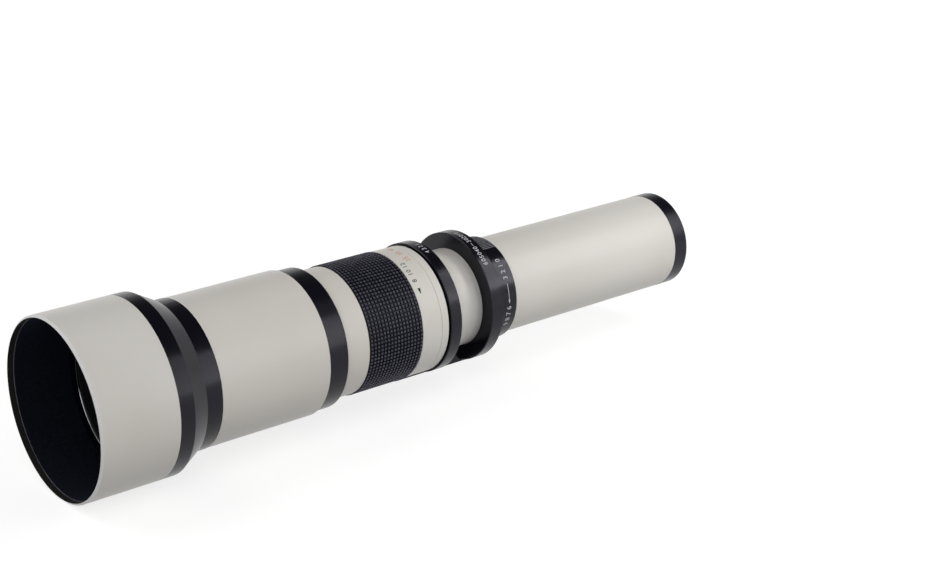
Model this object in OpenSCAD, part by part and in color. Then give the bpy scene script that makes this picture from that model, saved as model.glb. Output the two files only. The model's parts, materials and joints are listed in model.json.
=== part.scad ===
// Manual telephoto zoom lens: push-pull zoom tube, turning focus ring, lock ring,
// fixed tripod collar and a push-on hood. Millimetres.
// Stations (s_...) run along the optical axis from the hood's front rim to the camera end.
// The origin is the centre of the tripod socket's mouth, +X points to the camera, +Z up.

/* [Hood] */
// Length of the white hood tube
hood_len = 57.8; // [50:0.1:66]
// Outer radius of the hood
hood_r = 64; // [62.5:0.1:68]
// Wall of the hood tube
hood_wall = 1.5; // [1.2:0.1:2]
// Bevel on the hood's front rim
hood_bevel = 1.3; // [0.6:0.1:1.4]
// Depth at which the flocked lining starts
lining_start = 4.7; // [2:0.1:10]
// Thickness of the flocked lining
lining_t = 0.55; // [0.3:0.05:0.9]
// Length of the black band behind the hood tube
band_len = 10.8; // [5:0.1:14]
// Length of the adapter's cone
cone_len = 14.5; // [10.5:0.1:18]
// Wall of the adapter's skirt at its rear end
skirt_wall = 2.4; // [2:0.1:3]
// Length of the adapter's spigot inside the hood tube
spigot_len = 11.8; // [8:0.1:16]
// Wall of the adapter between its bore and the hood tube
spigot_wall = 9.75; // [8:0.05:11]
// Lip inside the adapter's bore, in front of the front ring
adapter_lip = 1; // [0.7:0.05:1.3]
// Depth of the felt groove in the skirt
felt_t = 1.2; // [0.8:0.05:1.4]

/* [Front ring and barrel] */
// Outer radius of the front ring
front_ring_r = 53.3; // [53:0.05:53.6]
// Length of the front ring that shows behind the hood
front_ring_show = 13.4; // [10:0.1:18]
// Length of the front ring that the hood's skirt covers
skirt_cover = 13.05; // [12:0.05:15]
// Radius of the filter thread
filter_r = 47.5; // [46.8:0.05:48.5]
// Depth of the filter thread
filter_depth = 8; // [6:0.5:9]
// Length of the white front barrel
barrel_len = 87.1; // [85:0.1:100]
// Outer radius of the white front barrel
barrel_r = 53; // [52.6:0.05:53.2]
// Wall of the front barrel
barrel_wall = 1.55; // [1.2:0.05:2]
// Length of the black ring behind the barrel
rear_ring_len = 16.9; // [14:0.1:20]
// Outer radius of that black ring
rear_ring_r = 51.5; // [51.2:0.05:52]

/* [Objective] */
// Radius of the objective glasses
glass_r = 45.5; // [44.5:0.1:46]
// Thickness of the front glass
crown_t = 12; // [11:0.1:13.5]
// Thickness of the second glass
flint_t = 5; // [4:0.1:6]
// Front curve of the objective
objective_r1 = 310; // [270:5:400]
// Shared curve between the two glasses
objective_r2 = 230; // [215:5:300]
// Rear curve of the objective
objective_r3 = 900; // [700:50:1500]

/* [Focusing] */
// Length of white sleeve that shows in front of the grip
sleeve_show = 20.7; // [16:0.1:26]
// Height of the white sleeve above the grip's seat
sleeve_lip = 1.1; // [0.7:0.05:1.4]
// Length of the rubber grip
grip_len = 47.4; // [44:0.1:54]
// Thickness of the rubber grip
grip_t = 1.85; // [1.5:0.05:2.1]
// Length of the white scale band
scale_len = 17.3; // [14:0.1:20]
// Height of the scale band above the grip's seat
scale_lip = 1.3; // [0.9:0.05:1.6]
// Turn of the focus ring from far to near, in degrees
focus_turn = 150; // [120:5:165]
// Forward travel of the focusing group over that turn
focus_travel = 11; // [8:0.5:12]
// Radius of the cam pins
pin_r = 2.5; // [2:0.1:2.8]
// Radius of the focusing glasses
focus_glass_r = 35; // [33:0.1:35.4]
// Length of the focusing cell
focus_cell_len = 14; // [13.8:0.1:15]

/* [Collar and foot] */
// Length of the fixed white index ring
index_len = 6.1; // [4:0.1:9]
// Outer radius of the index ring
index_r = 47.4; // [46.5:0.05:47.6]
// Bevel on both edges of the seam before the index ring
seam_bevel = 0.35; // [0.2:0.05:0.5]
// Width of the dark groove before the collar
groove_len = 1.5; // [1:0.1:2.5]
// Depth of that groove below the index ring
groove_drop = 1.9; // [1:0.1:2.5]
// Length of the collar's front ring
collar_front_len = 9.9; // [8:0.1:14]
// Gap between the collar's two rings
neck_len = 28.3; // [26:0.1:34]
// Length of the collar's rear ring
collar_rear_len = 10.6; // [9.5:0.1:14]
// Outer radius of the collar's rings
collar_r = 48.9; // [48.3:0.05:50]
// Height of the optical axis above the foot's face
axis_h = 49.3; // [49.1:0.05:50.5]
// Width of the foot
foot_w = 21; // [19:0.5:24]
// Thickness of the foot plate
foot_t = 1.6; // [1.5:0.05:1.7]
// Radius of the tripod thread, a quarter inch across
socket_r = 3.175; // [3.175:0.001:4.8]
// Depth of the tripod thread
socket_depth = 8; // [7:0.5:8.5]
// Outer radius of the threaded bush
bush_r = 6; // [5.6:0.1:6.5]

/* [Lock ring] */
// Length of the lock ring
lock_len = 21.2; // [16:0.1:26]
// Outer radius of the lock ring
lock_r = 39.3; // [39:0.05:40.5]
// Half angle of each ribbed grip zone
rib_zone = 22; // [14:1:30]
// Ribs in each grip zone
ribs = 17; // [9:2:25]
// Depth of the grooves between the ribs
rib_depth = 0.55; // [0.3:0.05:0.8]

/* [Zoom tube] */
// Outer radius of the zoom tube
tube_r = 37; // [36.6:0.05:37.2]
// Wall of the zoom tube
tube_wall = 1.8; // [1.6:0.05:2.2]
// Length of white tube that shows at full zoom
tube_show = 167.8; // [166:0.1:200]
// Travel of the zoom tube
zoom_travel = 160; // [150:1:161]
// Length of the black end ring
end_ring_len = 13.4; // [12.5:0.1:18]
// Outer radius of the black end ring
end_ring_r = 37.1; // [37:0.05:37.3]
// Radius of the rear thread, 42 mm across
mount_r = 21; // [20:0.05:24]
// Length of the rear thread
mount_len = 5; // [3.5:0.1:7]
// Radius of the clear way through the rear mount
port_r = 18.4; // [17:0.1:19]
// Radius of the rear glasses
rear_glass_r = 17; // [15:0.1:17.4]
// Radius of the zoom group's glasses
zoom_glass_r = 31; // [29:0.1:31.4]

/* [Fits and walls] */
// Gap between fixed pieces that are assembled together
fit_gap = 0.05; // [0.03:0.01:0.08]
// Radial gap of running fits
run_gap = 0.06; // [0.03:0.01:0.09]
// Gap between faces that pass each other
face_gap = 0.25; // [0.15:0.05:0.35]
// Side gap of a cam pin in its slots
slot_gap = 0.2; // [0.15:0.01:0.3]
// Wall of the sliding bush in the guide tube
slide_wall = 3; // [2.8:0.05:3.2]
// Wall of the fixed guide tube
guide_wall = 2.5; // [2.2:0.05:2.7]
// Wall of the focusing carriage
carriage_wall = 2; // [1.6:0.05:2.3]
// Wall of the focus ring under its grip
sleeve_wall = 3.55; // [3.2:0.05:3.7]
// Thickness of the cell walls that hold the glasses
lip_w = 1.3; // [1:0.1:1.6]

/* [Hidden] */

$fn = 96;
small_fn = 32;
over = 0.5;

cream = "#cfcbc1";
satin_black = "#232428";
flat_black = "#141416";
rubber_black = "#2a2a2d";
raw_alloy = "#b4b6b8";
brass = "#b08d4a";
steel = "#9a9c9f";
bush_white = "#e6e3da";
glass_tint = "#7d93b4";

// Stations of the visible rings, from front to back
s_band0 = hood_len;
s_band1 = s_band0 + band_len;
s_cone1 = s_band1 + cone_len;
s_front_face = s_cone1 - skirt_cover;
s_barrel0 = s_cone1 + front_ring_show;
s_barrel1 = s_barrel0 + barrel_len;
s_sleeve0 = s_barrel1 + rear_ring_len;
s_grip0 = s_sleeve0 + sleeve_show;
s_grip1 = s_grip0 + grip_len;
s_scale1 = s_grip1 + scale_len;
s_index1 = s_scale1 + index_len;
s_collar0 = s_index1 + groove_len;
s_neck0 = s_collar0 + collar_front_len;
s_neck1 = s_neck0 + neck_len;
s_collar1 = s_neck1 + collar_rear_len;
s_lock0 = s_collar1 + fit_gap * 2;
s_lock1 = s_lock0 + lock_len;
s_end0 = s_lock1 + tube_show;
s_end1 = s_end0 + end_ring_len;
s_mount1 = s_end1 + mount_len;
s_socket = (s_neck0 + s_neck1) / 2;

// Radii from the zoom tube outwards
tube_bore_r = tube_r - tube_wall;
clear_r = tube_r + face_gap;
slide_r = tube_r + run_gap;
guide_bore_r = slide_r + slide_wall;
carriage_r = guide_bore_r - run_gap;
carriage_bore_r = carriage_r - carriage_wall;
guide_r = guide_bore_r + guide_wall;
sleeve_bore_r = guide_r + run_gap;
seat_r = sleeve_bore_r + sleeve_wall;
sleeve_r = seat_r + sleeve_lip;
grip_r = seat_r + grip_t + fit_gap;
scale_r = seat_r + scale_lip;
pocket_r = sleeve_r + face_gap;

// Hood adapter and its felt
hood_bore_r = hood_r - hood_wall;
cone_end_r = front_ring_r + skirt_wall;
adapter_bore_r = hood_bore_r - fit_gap - spigot_wall;
adapter_lip_r = front_ring_r - adapter_lip;
adapter_lip_t = 3;
skirt_bore_r = front_ring_r + run_gap;
felt_front = 4.4;
felt_back = 2.6;
s_adapter0 = s_band0 - spigot_len;
s_felt0 = s_front_face + felt_front;
s_felt1 = s_cone1 - felt_back;

// Front ring and objective
ring_edge = 0.4;
barrel_bore_r = barrel_r - barrel_wall;
spigot_r = barrel_bore_r - fit_gap;
front_spigot_len = 8;
cell_wall = 1.5;
cell_r = spigot_r - cell_wall;
web_step = 0.7;
web_r = filter_r - web_step;
web_t = 6.3;
s_web0 = s_front_face + filter_depth;
s_web1 = s_web0 + web_t;
trim_t = 2;
trim_gap = 0.2;
glass_rim = 1;
glass_lip_r = glass_r - lip_w;
crown_proud = 0.5;
s_crown0 = s_web1 - crown_proud;
s_crown1 = s_crown0 + crown_t;
s_flint0 = s_crown1 + fit_gap;
s_flint1 = s_flint0 + flint_t;
s_cell_seat = s_crown0 + sag(objective_r1, glass_lip_r) - fit_gap;
s_retainer0 = s_flint1 + fit_gap;
retainer_t = 3.4;
retainer_w = 2.1;
cell_tail = 5;
s_cell1 = s_retainer0 + cell_tail;

// Barrel, and the bulkhead that carries the guide tube
baffle_t = 1.5;
baffle_gap = 0.6;
s_baffle = s_barrel0 + barrel_len / 2;
rear_edge = 1.4;
rear_spigot_t = 3.4;
rear_spigot_len = 8;
pocket_depth = 8.8;
bulkhead_t = 11.7;
s_pocket = s_sleeve0 - pocket_depth;
s_bulkhead = s_pocket - bulkhead_t;
guide_flange_t = 3.3;
guide_flange_w = 4.9;
s_flange1 = s_bulkhead - fit_gap;
s_flange0 = s_flange1 - guide_flange_t;
guide_recess = 3.6;
s_guide1 = s_neck0 - guide_recess;
guide_screws = 6;
guide_screw_r = 1.25;
guide_head_r = 1.9;
guide_screw_place_r = guide_r + guide_flange_w / 2;
guide_screw_reach = 6;
screw_tip_gap = 0.4;
tube_bush_len = 27.8;

// Focusing group, set by where the zoom tube stops
tube_lap = 1.5;
s_tube0 = s_collar0 - tube_lap;
travel_spare = 0.8;
cell_setback = 0.2;
s_focus_cell1 = s_tube0 - zoom_travel - travel_spare;
s_focus_cell0 = s_focus_cell1 - focus_cell_len;
s_carriage0 = s_focus_cell0 - cell_setback;
s_pin = (s_grip0 + s_grip1 + focus_travel) / 2;
carriage_tail = 12;
pin_sink = 0.2;
s_carriage1 = s_pin + carriage_tail;
slot_half = pin_r + slot_gap;
cam_land = 8;
sleeve_land = 10;
relief_wall = 1.4;
relief_r = seat_r - relief_wall;
pin_angles = [60, 180, 300];
stop_r = 1;
stop_gap = 0.2;
stop_slot_r = stop_r + stop_gap;
stop_angle = 240;
stop_place_r = (sleeve_bore_r + scale_r) / 2;
stop_depth = 3;
stop_reach = 2.6;
stop_seat = 3.5;
focus_r1 = 260;
focus_r2 = 170;
focus_r3 = 900;
focus_web_t = 2.5;
s_focus_front0 = s_focus_cell0 + focus_web_t + fit_gap + sag(focus_r1, focus_glass_r - glass_rim);
focus_front_t = 2.5;
focus_rear_t = 4.9;
s_focus_front1 = s_focus_front0 + focus_front_t;
s_focus_rear0 = s_focus_front1 + fit_gap;
s_focus_rear1 = s_focus_rear0 + focus_rear_t;
focus_lip_r = focus_glass_r - lip_w;

// Collar and foot
collar_bevel = 0.5;
plate_setback = 0.4;
s_plate0 = s_grip1 + plate_setback;
foot_corner = 3;
neck_sink = 2;
neck_h = axis_h - clear_r + neck_sink;
grub_r = 1.5;
grub_angles = [165, 230, 295];
grub_setback = 3.2;
s_grub = s_collar0 + grub_setback;
foot_screw_r = 1.5;
foot_head_r = 2.75;
foot_head_t = 1.2;
foot_screw_len = 5.9;
head_gap = 0.15;
head_sink = 0.1;
screw_hole_spare = 0.3;
foot_screw_edge = 4.5;
foot_screw_front = 3.4;
foot_screw_back = 4.8;
screw_side = foot_w / 2 - foot_screw_edge;
s_foot_screws = [s_collar0 + foot_screw_front, s_collar1 - foot_screw_back];
key_setback = 3.9;
s_key = s_neck1 - key_setback;
key_r = 2;
key_groove = 1;
socket_floor = 0.6;
grub_sink = 0.4;
grub_gap = 0.1;

// Lock ring and the split collet it squeezes
collet_setback = 1.6;
s_collet0 = s_neck1 + collet_setback;
collet_len = 4.4;
collet_split = 2;
collet_taper = 0.8;
lock_wall = 2.05;
lock_shoulder = 0.15;
lock_bore_r = lock_r - lock_wall;
lock_spigot_r = lock_r + lock_shoulder;
counterbore_r = lock_spigot_r + fit_gap * 2;
s_lock_spigot = s_collet0 + collet_len + face_gap;
lock_edge = 0.5;
rib_start = 5.2;
rib_share = 0.45;

// Zoom group in the front of the tube
zoom_r1 = 180;
zoom_r2 = 140;
zoom_r3 = 400;
zoom_cell_len = 14.6;
zoom_lip_r = zoom_glass_r - lip_w;
zoom_lip_t = 3.5;
zoom_front_t = 8.4;
zoom_rear_t = 1.8;
s_zoom_lip = s_tube0 + zoom_lip_t;
s_zoom_front0 = s_zoom_lip - sag(zoom_r1, zoom_lip_r) + fit_gap;
s_zoom_front1 = s_zoom_front0 + zoom_front_t;
s_zoom_rear0 = s_zoom_front1 + fit_gap;
s_zoom_rear1 = s_zoom_rear0 + zoom_rear_t;

// Rear end of the zoom tube
baffle_shares = [0.25, 0.5, 0.75];
baffle_open_r = [27, 24, 21];
baffle_rim = 4;
baffle_web = 1;
end_spigot_len = 7.5;
end_wall = 2;
end_bore_r = tube_bore_r - end_wall;
end_edge = 0.9;
end_web_t = 3.4;
s_end_web = s_end1 - end_web_t;
mount_hub_w = 4.9;
mount_hub_r = mount_r + mount_hub_w;
mount_flange_t = 3.4;
mount_edge = 0.4;
s_mount_flange1 = s_end_web - fit_gap;
s_mount_flange0 = s_mount_flange1 - mount_flange_t;
mount_screw_r = 1.05;
mount_head_r = 1.9;
mount_head_t = 0.85;
mount_screw_edge = 3.1;
mount_screw_place_r = mount_hub_r + mount_screw_edge;
mount_screw_floor = 0.6;

// Rear group
rear_r1 = 60;
rear_r2 = 48;
rear_r3 = 300;
rear_lip_r = rear_glass_r - lip_w;
rear_cell_wall = 2.4;
rear_cell_r = rear_glass_r + rear_cell_wall;
rear_flange_t = 3;
rear_lip_t = 11.4;
rear_front_t = 7;
rear_back_t = 2;
rear_cell_mouth = 2;
s_rear_cell1 = s_mount_flange0 - fit_gap;
s_rear_lip = s_rear_cell1 - rear_lip_t;
s_rear_back1 = s_rear_lip - fit_gap - sag(rear_r3, rear_glass_r - glass_rim);
s_rear_back0 = s_rear_back1 - rear_back_t;
s_rear_front1 = s_rear_back0 - fit_gap;
s_rear_front0 = s_rear_front1 - rear_front_t;
s_rear_cell0 = s_rear_front0 - rear_cell_mouth;

// Depth of a curve of radius R at distance r from the axis
function sag(R, r) = R - sqrt(R * R - r * r);

// Facets of a lens curve, about 1.6 mm long on any radius
function curve_fn(R) = 4 * ceil(R);

// Local frame of the turned pieces: x up, y to the left side, z towards the camera end
module place() {
  translate([-s_socket, 0, axis_h]) rotate([0, -90, 0]) rotate([180, 0, 0]) children();
}

// Turned piece from an outline of [radius, station] points
module turned(outline) {
  place() rotate_extrude() polygon(outline);
}

module ring(r_in, r_out, s0, s1) {
  turned([[r_in, s0], [r_out, s0], [r_out, s1], [r_in, s1]]);
}

// Round bar that points out from the axis, at an angle from the top
module radial_bar(angle, s, r_bar, r0, r1) {
  place() rotate([0, 0, angle]) translate([r0, 0, s]) rotate([0, 90, 0])
    cylinder(r = r_bar, h = r1 - r0, $fn = small_fn);
}

// Slot along the axis with round ends
module radial_slot(angle, s0, s1, half, r0, r1) {
  radial_bar(angle, s0, half, r0, r1);
  radial_bar(angle, s1, half, r0, r1);
  place() rotate([0, 0, angle]) translate([r0, -half, s0]) cube([r1 - r0, half * 2, s1 - s0]);
}

// Round bar parallel to the axis, at a distance and an angle from it
module axial_bar(angle, place_r, r_bar, s0, s1) {
  place() rotate([0, 0, angle]) translate([place_r, 0, s0])
    cylinder(r = r_bar, h = s1 - s0, $fn = small_fn);
}

// Half section behind a spherical surface. R > 0 bulges forwards, R < 0 is hollow.
module behind_surface(s, R, r) {
  if (R > 0) translate([0, s + R]) circle(r = R, $fn = curve_fn(R));
  else difference() {
    translate([0, s - sag(-R, r - glass_rim)]) square([r + 1, r * 2]);
    translate([0, s + R]) circle(r = -R, $fn = curve_fn(-R));
  }
}

// Half section in front of a spherical surface. R < 0 bulges to the rear, R > 0 is hollow.
module before_surface(s, R, r) {
  if (R < 0) translate([0, s + R]) circle(r = -R, $fn = curve_fn(-R));
  else difference() {
    translate([0, s + sag(R, r - glass_rim) - r * 2]) square([r + 1, r * 2]);
    translate([0, s + R]) circle(r = R, $fn = curve_fn(R));
  }
}

// Glass with true spherical faces
module glass(r, s0, s1, R0, R1) {
  place() rotate_extrude() intersection() {
    translate([0, s0 - r]) square([r, s1 - s0 + r * 2]);
    behind_surface(s0, R0, r);
    before_surface(s1, R1, r);
  }
}

// Hood

module hood_tube() color(cream) turned([
  [hood_bore_r, 0],
  [hood_r - hood_bevel, 0],
  [hood_r, hood_bevel],
  [hood_r, s_band0 - fit_gap],
  [hood_bore_r, s_band0 - fit_gap]
]);

module hood_lining() color(flat_black) ring(hood_bore_r - fit_gap - lining_t,
  hood_bore_r - fit_gap, lining_start, s_adapter0 - fit_gap);

module hood_adapter() color(satin_black) turned([
  [adapter_bore_r, s_adapter0],
  [hood_bore_r - fit_gap, s_adapter0],
  [hood_bore_r - fit_gap, s_band0],
  [hood_r, s_band0],
  [hood_r, s_band1],
  [cone_end_r, s_cone1],
  [skirt_bore_r, s_cone1],
  [skirt_bore_r, s_felt1],
  [skirt_bore_r + felt_t, s_felt1],
  [skirt_bore_r + felt_t, s_felt0],
  [skirt_bore_r, s_felt0],
  [skirt_bore_r, s_front_face - fit_gap],
  [adapter_lip_r, s_front_face - fit_gap],
  [adapter_lip_r, s_front_face - fit_gap - adapter_lip_t],
  [adapter_bore_r, s_front_face - fit_gap - adapter_lip_t]
]);

module hood_felt() color(flat_black)
  ring(skirt_bore_r, skirt_bore_r + felt_t - fit_gap, s_felt0 + fit_gap, s_felt1 - fit_gap);

// Front ring, objective and barrel

module front_ring() color(satin_black) turned([
  [filter_r, s_front_face],
  [front_ring_r - ring_edge, s_front_face],
  [front_ring_r, s_front_face + ring_edge],
  [front_ring_r, s_barrel0],
  [spigot_r, s_barrel0],
  [spigot_r, s_barrel0 + front_spigot_len],
  [cell_r + fit_gap, s_barrel0 + front_spigot_len],
  [cell_r + fit_gap, s_web1],
  [web_r, s_web1],
  [web_r, s_web0],
  [filter_r, s_web0]
]);

module front_trim_ring() color(flat_black)
  ring(glass_lip_r + trim_gap, web_r - fit_gap, s_web1 - trim_t, s_web1);

module objective_crown() color(glass_tint)
  glass(glass_r, s_crown0, s_crown1, objective_r1, -objective_r2);

module objective_flint() color(glass_tint)
  glass(glass_r, s_flint0, s_flint1, -(objective_r2 + fit_gap), -objective_r3);

module objective_cell() color(flat_black) turned([
  [glass_lip_r, s_web1 + fit_gap],
  [cell_r, s_web1 + fit_gap],
  [cell_r, s_cell1],
  [glass_r + fit_gap, s_cell1],
  [glass_r + fit_gap, s_cell_seat],
  [glass_lip_r, s_cell_seat]
]);

module objective_lock_ring() color(flat_black)
  ring(glass_r - retainer_w, glass_r, s_retainer0, s_retainer0 + retainer_t);

module front_barrel() color(cream)
  ring(barrel_bore_r, barrel_r, s_barrel0 + fit_gap, s_barrel1);

module barrel_baffle() color(flat_black)
  ring(carriage_r + baffle_gap, spigot_r, s_baffle, s_baffle + baffle_t);

module barrel_rear_ring() color(satin_black) difference() {
  turned([
    [guide_r + fit_gap, s_bulkhead],
    [spigot_r - rear_spigot_t, s_bulkhead],
    [spigot_r - rear_spigot_t, s_bulkhead - rear_spigot_len],
    [spigot_r, s_bulkhead - rear_spigot_len],
    [spigot_r, s_barrel1 + fit_gap],
    [rear_ring_r, s_barrel1 + fit_gap],
    for (a = [0:22.5:90])
      [rear_ring_r - rear_edge * (1 - cos(a)), s_sleeve0 - rear_edge * (1 - sin(a))],
    [pocket_r, s_sleeve0],
    [pocket_r, s_pocket],
    [guide_r + fit_gap, s_pocket]
  ]);
  for (i = [1:guide_screws]) axial_bar(i * 360 / guide_screws, guide_screw_place_r,
    guide_screw_r + fit_gap, s_bulkhead - over, s_bulkhead + guide_screw_reach + screw_tip_gap);
}

// Guide tube and what closes the rear of the focus ring

module guide_tube() color(raw_alloy) difference() {
  turned([
    [guide_bore_r, s_flange0],
    [guide_r + guide_flange_w, s_flange0],
    [guide_r + guide_flange_w, s_flange1],
    [guide_r, s_flange1],
    [guide_r, s_guide1],
    [guide_bore_r, s_guide1]
  ]);
  for (i = [1:guide_screws]) axial_bar(i * 360 / guide_screws, guide_screw_place_r,
    guide_screw_r + fit_gap, s_flange0 - over, s_flange1 + over);
  for (a = pin_angles)
    radial_slot(a, s_pin - focus_travel, s_pin, slot_half, guide_bore_r - 1, guide_r + 1);
}

module guide_tube_screws() color(steel) {
  head_s = s_flange0 - fit_gap;
  for (i = [1:guide_screws]) union() {
    axial_bar(i * 360 / guide_screws, guide_screw_place_r, guide_head_r, head_s - guide_head_r, head_s);
    axial_bar(i * 360 / guide_screws, guide_screw_place_r, guide_screw_r,
      head_s - over, s_bulkhead + guide_screw_reach);
  }
}

module index_ring() color(cream) difference() {
  s_front = s_scale1 + fit_gap * 2;
  turned([
    [guide_r + fit_gap, s_front],
    [index_r - seam_bevel, s_front],
    [index_r, s_front + seam_bevel],
    [index_r, s_index1],
    [guide_r + fit_gap, s_index1]
  ]);
  axial_bar(stop_angle, stop_place_r, stop_r + fit_gap, s_scale1 - over, s_scale1 + stop_seat + fit_gap);
}

module focus_stop_pin() color(steel)
  axial_bar(stop_angle, stop_place_r, stop_r, s_scale1 - stop_reach, s_scale1 + stop_seat);

module groove_ring() color(flat_black)
  ring(guide_r + fit_gap, index_r - groove_drop, s_index1 + fit_gap, s_collar0 - fit_gap);

module tube_bush() color(bush_white)
  ring(slide_r, guide_bore_r - fit_gap, s_guide1 - tube_bush_len, s_guide1);

// Tripod collar, foot and lock

module collar_band(s0, s1) turned([
  [clear_r, s0],
  [collar_r - collar_bevel, s0],
  [collar_r, s0 + collar_bevel],
  [collar_r, s1 - collar_bevel],
  [collar_r - collar_bevel, s1],
  [clear_r, s1]
]);

// The two bands of the collar and the block between them, cut flat for the foot plate
module collar_body() difference() {
  union() {
    collar_band(s_collar0, s_neck0);
    collar_band(s_neck1, s_collar1);
    translate([s_neck0 - over - s_socket, -foot_w / 2, 0])
      cube([neck_len + over * 2, foot_w, neck_h]);
  }
  translate([s_collar0 - over - s_socket, -collar_r, foot_t - collar_r])
    cube([s_collar1 - s_collar0 + over * 2, collar_r * 2, collar_r]);
  place() translate([0, 0, s_collar0 - over])
    cylinder(r = clear_r, h = s_collar1 - s_collar0 + over * 2);
}

module tripod_collar() color(satin_black) difference() {
  collar_body();
  ring(clear_r - 1, guide_r + fit_gap, s_collar0 - over, s_guide1 + fit_gap * 2);
  ring(clear_r - 1, counterbore_r, s_collet0 - fit_gap, s_collar1 + over);
  for (a = grub_angles) radial_bar(a, s_grub, grub_r + fit_gap, guide_r - 1, collar_r + 1);
  for (s = s_foot_screws, side = [-1, 1]) translate([s - s_socket, side * screw_side, 0])
    cylinder(r = foot_screw_r + fit_gap, h = foot_screw_len + screw_hole_spare, $fn = small_fn);
  cylinder(r = bush_r + fit_gap, h = socket_depth + socket_floor + 0.1);
  translate([s_key - s_socket, 0, 0])
    cylinder(r = key_r + fit_gap, h = axis_h - clear_r + over, $fn = small_fn);
}

module collar_screws() color(steel)
  for (a = grub_angles) radial_bar(a, s_grub, grub_r, guide_r + grub_gap, collar_r - grub_sink);

module foot_outline() {
  front = s_plate0 - s_socket;
  back = s_collar1 - s_socket;
  half = foot_w / 2 - foot_corner;
  translate([front + foot_corner, -foot_w / 2]) square([back - front - foot_corner, foot_w]);
  translate([front, -half]) square([foot_corner * 2, half * 2]);
  for (side = [-1, 1]) translate([front + foot_corner, side * half]) circle(r = foot_corner);
}

module foot_plate() color(satin_black) difference() {
  linear_extrude(height = foot_t - fit_gap) foot_outline();
  translate([0, 0, -over]) cylinder(r = bush_r + fit_gap, h = foot_t + 1);
  for (s = s_foot_screws, side = [-1, 1]) translate([s - s_socket, side * screw_side, 0]) {
    translate([0, 0, -over]) cylinder(r = foot_screw_r + fit_gap, h = foot_t + 1, $fn = small_fn);
    translate([0, 0, -over]) cylinder(r = foot_head_r + head_gap, h = over + head_sink, $fn = small_fn);
    translate([0, 0, head_sink]) cylinder(r1 = foot_head_r + head_gap, r2 = foot_screw_r + fit_gap,
      h = foot_head_t + fit_gap, $fn = small_fn);
  }
}

module foot_screws() color(steel)
  for (s = s_foot_screws, side = [-1, 1])
  translate([s - s_socket, side * screw_side, head_sink + fit_gap]) union() {
    cylinder(r1 = foot_head_r, r2 = foot_screw_r, h = foot_head_t, $fn = small_fn);
    translate([0, 0, foot_head_t - head_sink])
      cylinder(r = foot_screw_r, h = foot_screw_len - foot_head_t, $fn = small_fn);
  }

module tripod_bush() color(steel) difference() {
  cylinder(r = bush_r, h = socket_depth + socket_floor);
  translate([0, 0, -over]) cylinder(r = socket_r, h = socket_depth + over);
}

module guide_key() color(steel) translate([s_key - s_socket, 0, foot_t])
  cylinder(r = key_r, h = axis_h - foot_t - tube_r + key_groove - face_gap, $fn = small_fn);

module lock_collet() color(bush_white) difference() {
  turned([
    [slide_r, s_collet0],
    [lock_spigot_r, s_collet0],
    [lock_spigot_r - collet_taper, s_collet0 + collet_len],
    [slide_r, s_collet0 + collet_len]
  ]);
  place() translate([0, -collet_split / 2, s_collet0 - over])
    cube([tube_r * 2, collet_split, collet_len + over * 2]);
}

module lock_ring() color(satin_black) difference() {
  turned([
    [lock_bore_r, s_lock_spigot],
    [lock_spigot_r, s_lock_spigot],
    [lock_spigot_r, s_lock0],
    [lock_r, s_lock0],
    [lock_r, s_lock1 - lock_edge],
    [lock_r - lock_edge, s_lock1],
    [lock_bore_r, s_lock1]
  ]);
  pitch = 2 * rib_zone / ribs;
  groove = lock_r * pitch * PI / 180 * rib_share;
  for (zone = [0, 180], i = [0:ribs]) place() rotate([0, 0, zone - rib_zone + i * pitch])
    translate([lock_r - rib_depth, -groove / 2, s_lock0 + rib_start]) cube([2, groove, lock_len]);
}

// Focus ring

// Helical bar with square ends, cut through the sleeve wall for one cam pin. Its ends
// run past the pin's stops, so the stop pin ends the turn and not the slot.
module cam_slot(angle) {
  steps = 16;
  r0 = sleeve_bore_r - 1;
  r1 = seat_r + 1;
  lead = atan(focus_travel / (focus_turn * PI / 180 * (r0 + r1) / 2));
  half = slot_half / cos(lead);
  spare = asin((slot_half + fit_gap * 2) / r0) / focus_turn;
  section = [[r0, -half], [r1, -half], [r1, half], [r0, half]];
  corners = [for (i = [0:steps])
    let (t = i / steps * (1 + 2 * spare) - spare, a = angle - focus_turn * t)
    each [for (c = section) [c[0] * cos(a), c[0] * sin(a), s_pin - focus_travel * t + c[1]]]];
  sides = [for (i = [0:steps - 1], k = [0:3]) let (a = i * 4 + k, b = i * 4 + (k + 1) % 4)
    each [[a, a + 4, b], [b, a + 4, b + 4]]];
  n = steps * 4;
  ends = [[0, 1, 2], [0, 2, 3], [n, n + 2, n + 1], [n, n + 3, n + 2]];
  place() polyhedron(corners, concat(sides, ends));
}

module focus_sleeve() color(cream) difference() {
  s_front = s_pocket + face_gap;
  s_cam0 = s_pin - focus_travel - cam_land;
  s_cam1 = s_pin + cam_land;
  turned([
    [sleeve_bore_r, s_front],
    [sleeve_r, s_front],
    [sleeve_r, s_grip0],
    [seat_r, s_grip0],
    [seat_r, s_grip1],
    [scale_r, s_grip1],
    [scale_r, s_scale1 - seam_bevel],
    [scale_r - seam_bevel, s_scale1],
    [sleeve_bore_r, s_scale1],
    [sleeve_bore_r, s_scale1 - sleeve_land],
    [relief_r, s_scale1 - sleeve_land],
    [relief_r, s_cam1],
    [sleeve_bore_r, s_cam1],
    [sleeve_bore_r, s_cam0],
    [relief_r, s_cam0],
    [relief_r, s_front + sleeve_land],
    [sleeve_bore_r, s_front + sleeve_land]
  ]);
  for (a = pin_angles) cam_slot(a);
  margin = asin(stop_slot_r / stop_place_r);
  place() translate([0, 0, s_scale1 - stop_depth]) rotate([0, 0, stop_angle - focus_turn - margin])
    rotate_extrude(angle = focus_turn + 2 * margin)
      translate([stop_place_r - stop_slot_r, 0]) square([stop_slot_r * 2, stop_depth + over]);
}

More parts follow.
